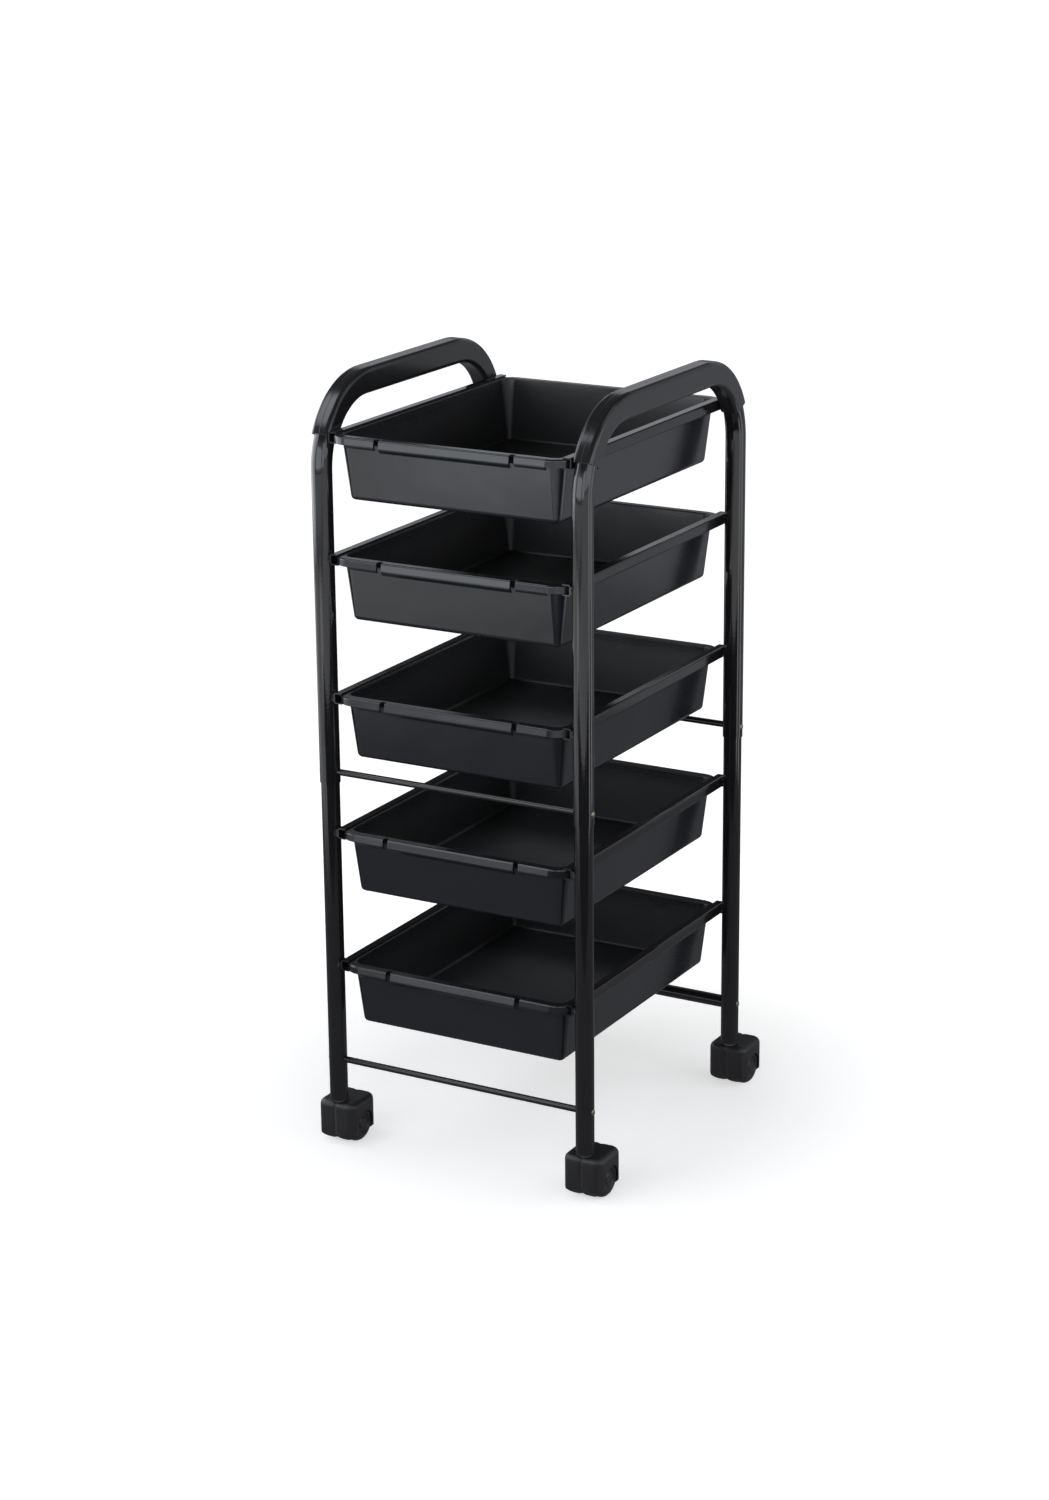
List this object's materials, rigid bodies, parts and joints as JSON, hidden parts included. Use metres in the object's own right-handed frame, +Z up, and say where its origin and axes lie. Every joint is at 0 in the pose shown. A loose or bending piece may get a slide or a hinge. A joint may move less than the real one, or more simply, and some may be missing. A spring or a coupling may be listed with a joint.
{
  "type": "rolling salon trolley",
  "caption": "Rolling salon trolley: tube side frames with arched handles, sliding open trays in side rails, and twin-wheel swivel casters.",
  "frame": {"origin": "on the floor, at the middle of the outer width and depth", "axes": "+Z up, +Y towards the back, away from the side that the trays pull out of, +X to the right as seen from the front"},
  "size_m": [0.355, 0.3987, 0.849],
  "materials": {
    "frame_paint": "gloss black powder coat on steel tube and sheet",
    "handle_plastic": "smooth moulded black plastic with a soft sheen",
    "tray_plastic": "semi-gloss moulded black plastic",
    "caster_plastic": "matt black nylon",
    "wheel_plastic": "matt black nylon wheel with a round tread",
    "pin_steel": "plain turned steel",
    "screw_plating": "bright plated screw heads"
  },
  "bodies": {
    "frame": {"handle_left": "handle_plastic", "handle_right": "handle_plastic", "leg_upper_front_left": "frame_paint", "leg_upper_front_right": "frame_paint", "leg_upper_rear_left": "frame_paint", "leg_upper_rear_right": "frame_paint", "leg_lower_front_left": "frame_paint", "leg_lower_front_right": "frame_paint", "leg_lower_rear_left": "frame_paint", "leg_lower_rear_right": "frame_paint", "rail_1_left": "frame_paint", "rail_1_right": "frame_paint", "rail_2_left": "frame_paint", "rail_2_right": "frame_paint", "rail_3_left": "frame_paint", "rail_3_right": "frame_paint", "rail_4_left": "frame_paint", "rail_4_right": "frame_paint", "rail_5_left": "frame_paint", "rail_5_right": "frame_paint", "crossbar_mid_front": "frame_paint", "crossbar_mid_rear": "frame_paint", "crossbar_low_front": "frame_paint", "crossbar_low_rear": "frame_paint", "crossbar_screws": "screw_plating", "caster_socket_front_left": "caster_plastic", "caster_socket_front_right": "caster_plastic", "caster_socket_rear_left": "caster_plastic", "caster_socket_rear_right": "caster_plastic"},
    "tray_1": {"tray_1": "tray_plastic"},
    "tray_2": {"tray_2": "tray_plastic"},
    "tray_3": {"tray_3": "tray_plastic"},
    "tray_4": {"tray_4": "tray_plastic"},
    "tray_5": {"tray_5": "tray_plastic"},
    "caster_front_left": {"caster_stem_front_left": "pin_steel", "caster_hood_front_left": "caster_plastic", "caster_axle_front_left": "pin_steel"},
    "caster_front_right": {"caster_stem_front_right": "pin_steel", "caster_hood_front_right": "caster_plastic", "caster_axle_front_right": "pin_steel"},
    "caster_rear_left": {"caster_stem_rear_left": "pin_steel", "caster_hood_rear_left": "caster_plastic", "caster_axle_rear_left": "pin_steel"},
    "caster_rear_right": {"caster_stem_rear_right": "pin_steel", "caster_hood_rear_right": "caster_plastic", "caster_axle_rear_right": "pin_steel"},
    "wheel_left_front_left": {"wheel_left_front_left": "wheel_plastic"},
    "wheel_right_front_left": {"wheel_right_front_left": "wheel_plastic"},
    "wheel_left_front_right": {"wheel_left_front_right": "wheel_plastic"},
    "wheel_right_front_right": {"wheel_right_front_right": "wheel_plastic"},
    "wheel_left_rear_left": {"wheel_left_rear_left": "wheel_plastic"},
    "wheel_right_rear_left": {"wheel_right_rear_left": "wheel_plastic"},
    "wheel_left_rear_right": {"wheel_left_rear_right": "wheel_plastic"},
    "wheel_right_rear_right": {"wheel_right_rear_right": "wheel_plastic"}
  },
  "joints": [
    {"name": "tray_1_slide", "type": "slide", "parent": "frame", "child": "tray_1", "axis": [0, -1, 0], "range_m": [0, 0.25]},
    {"name": "tray_2_slide", "type": "slide", "parent": "frame", "child": "tray_2", "axis": [0, -1, 0], "range_m": [0, 0.25]},
    {"name": "tray_3_slide", "type": "slide", "parent": "frame", "child": "tray_3", "axis": [0, -1, 0], "range_m": [0, 0.25]},
    {"name": "tray_4_slide", "type": "slide", "parent": "frame", "child": "tray_4", "axis": [0, -1, 0], "range_m": [0, 0.25]},
    {"name": "tray_5_slide", "type": "slide", "parent": "frame", "child": "tray_5", "axis": [0, -1, 0], "range_m": [0, 0.25]},
    {"name": "caster_front_left_swivel", "type": "hinge", "parent": "frame", "child": "caster_front_left", "pos_m": [-0.153, -0.186, 0.05], "axis": [0, 0, 1], "continuous": true},
    {"name": "caster_front_right_swivel", "type": "hinge", "parent": "frame", "child": "caster_front_right", "pos_m": [0.153, -0.186, 0.05], "axis": [0, 0, 1], "continuous": true},
    {"name": "caster_rear_left_swivel", "type": "hinge", "parent": "frame", "child": "caster_rear_left", "pos_m": [-0.153, 0.16, 0.05], "axis": [0, 0, 1], "continuous": true},
    {"name": "caster_rear_right_swivel", "type": "hinge", "parent": "frame", "child": "caster_rear_right", "pos_m": [0.153, 0.16, 0.05], "axis": [0, 0, 1], "continuous": true},
    {"name": "wheel_left_front_left_spin", "type": "hinge", "parent": "caster_front_left", "child": "wheel_left_front_left", "pos_m": [-0.153, -0.171, 0.021], "axis": [1, 0, 0], "continuous": true},
    {"name": "wheel_right_front_left_spin", "type": "hinge", "parent": "caster_front_left", "child": "wheel_right_front_left", "pos_m": [-0.153, -0.171, 0.021], "axis": [1, 0, 0], "continuous": true},
    {"name": "wheel_left_front_right_spin", "type": "hinge", "parent": "caster_front_right", "child": "wheel_left_front_right", "pos_m": [0.153, -0.171, 0.021], "axis": [1, 0, 0], "continuous": true},
    {"name": "wheel_right_front_right_spin", "type": "hinge", "parent": "caster_front_right", "child": "wheel_right_front_right", "pos_m": [0.153, -0.171, 0.021], "axis": [1, 0, 0], "continuous": true},
    {"name": "wheel_left_rear_left_spin", "type": "hinge", "parent": "caster_rear_left", "child": "wheel_left_rear_left", "pos_m": [-0.153, 0.175, 0.021], "axis": [1, 0, 0], "continuous": true},
    {"name": "wheel_right_rear_left_spin", "type": "hinge", "parent": "caster_rear_left", "child": "wheel_right_rear_left", "pos_m": [-0.153, 0.175, 0.021], "axis": [1, 0, 0], "continuous": true},
    {"name": "wheel_left_rear_right_spin", "type": "hinge", "parent": "caster_rear_right", "child": "wheel_left_rear_right", "pos_m": [0.153, 0.175, 0.021], "axis": [1, 0, 0], "continuous": true},
    {"name": "wheel_right_rear_right_spin", "type": "hinge", "parent": "caster_rear_right", "child": "wheel_right_rear_right", "pos_m": [0.153, 0.175, 0.021], "axis": [1, 0, 0], "continuous": true}
  ]
}
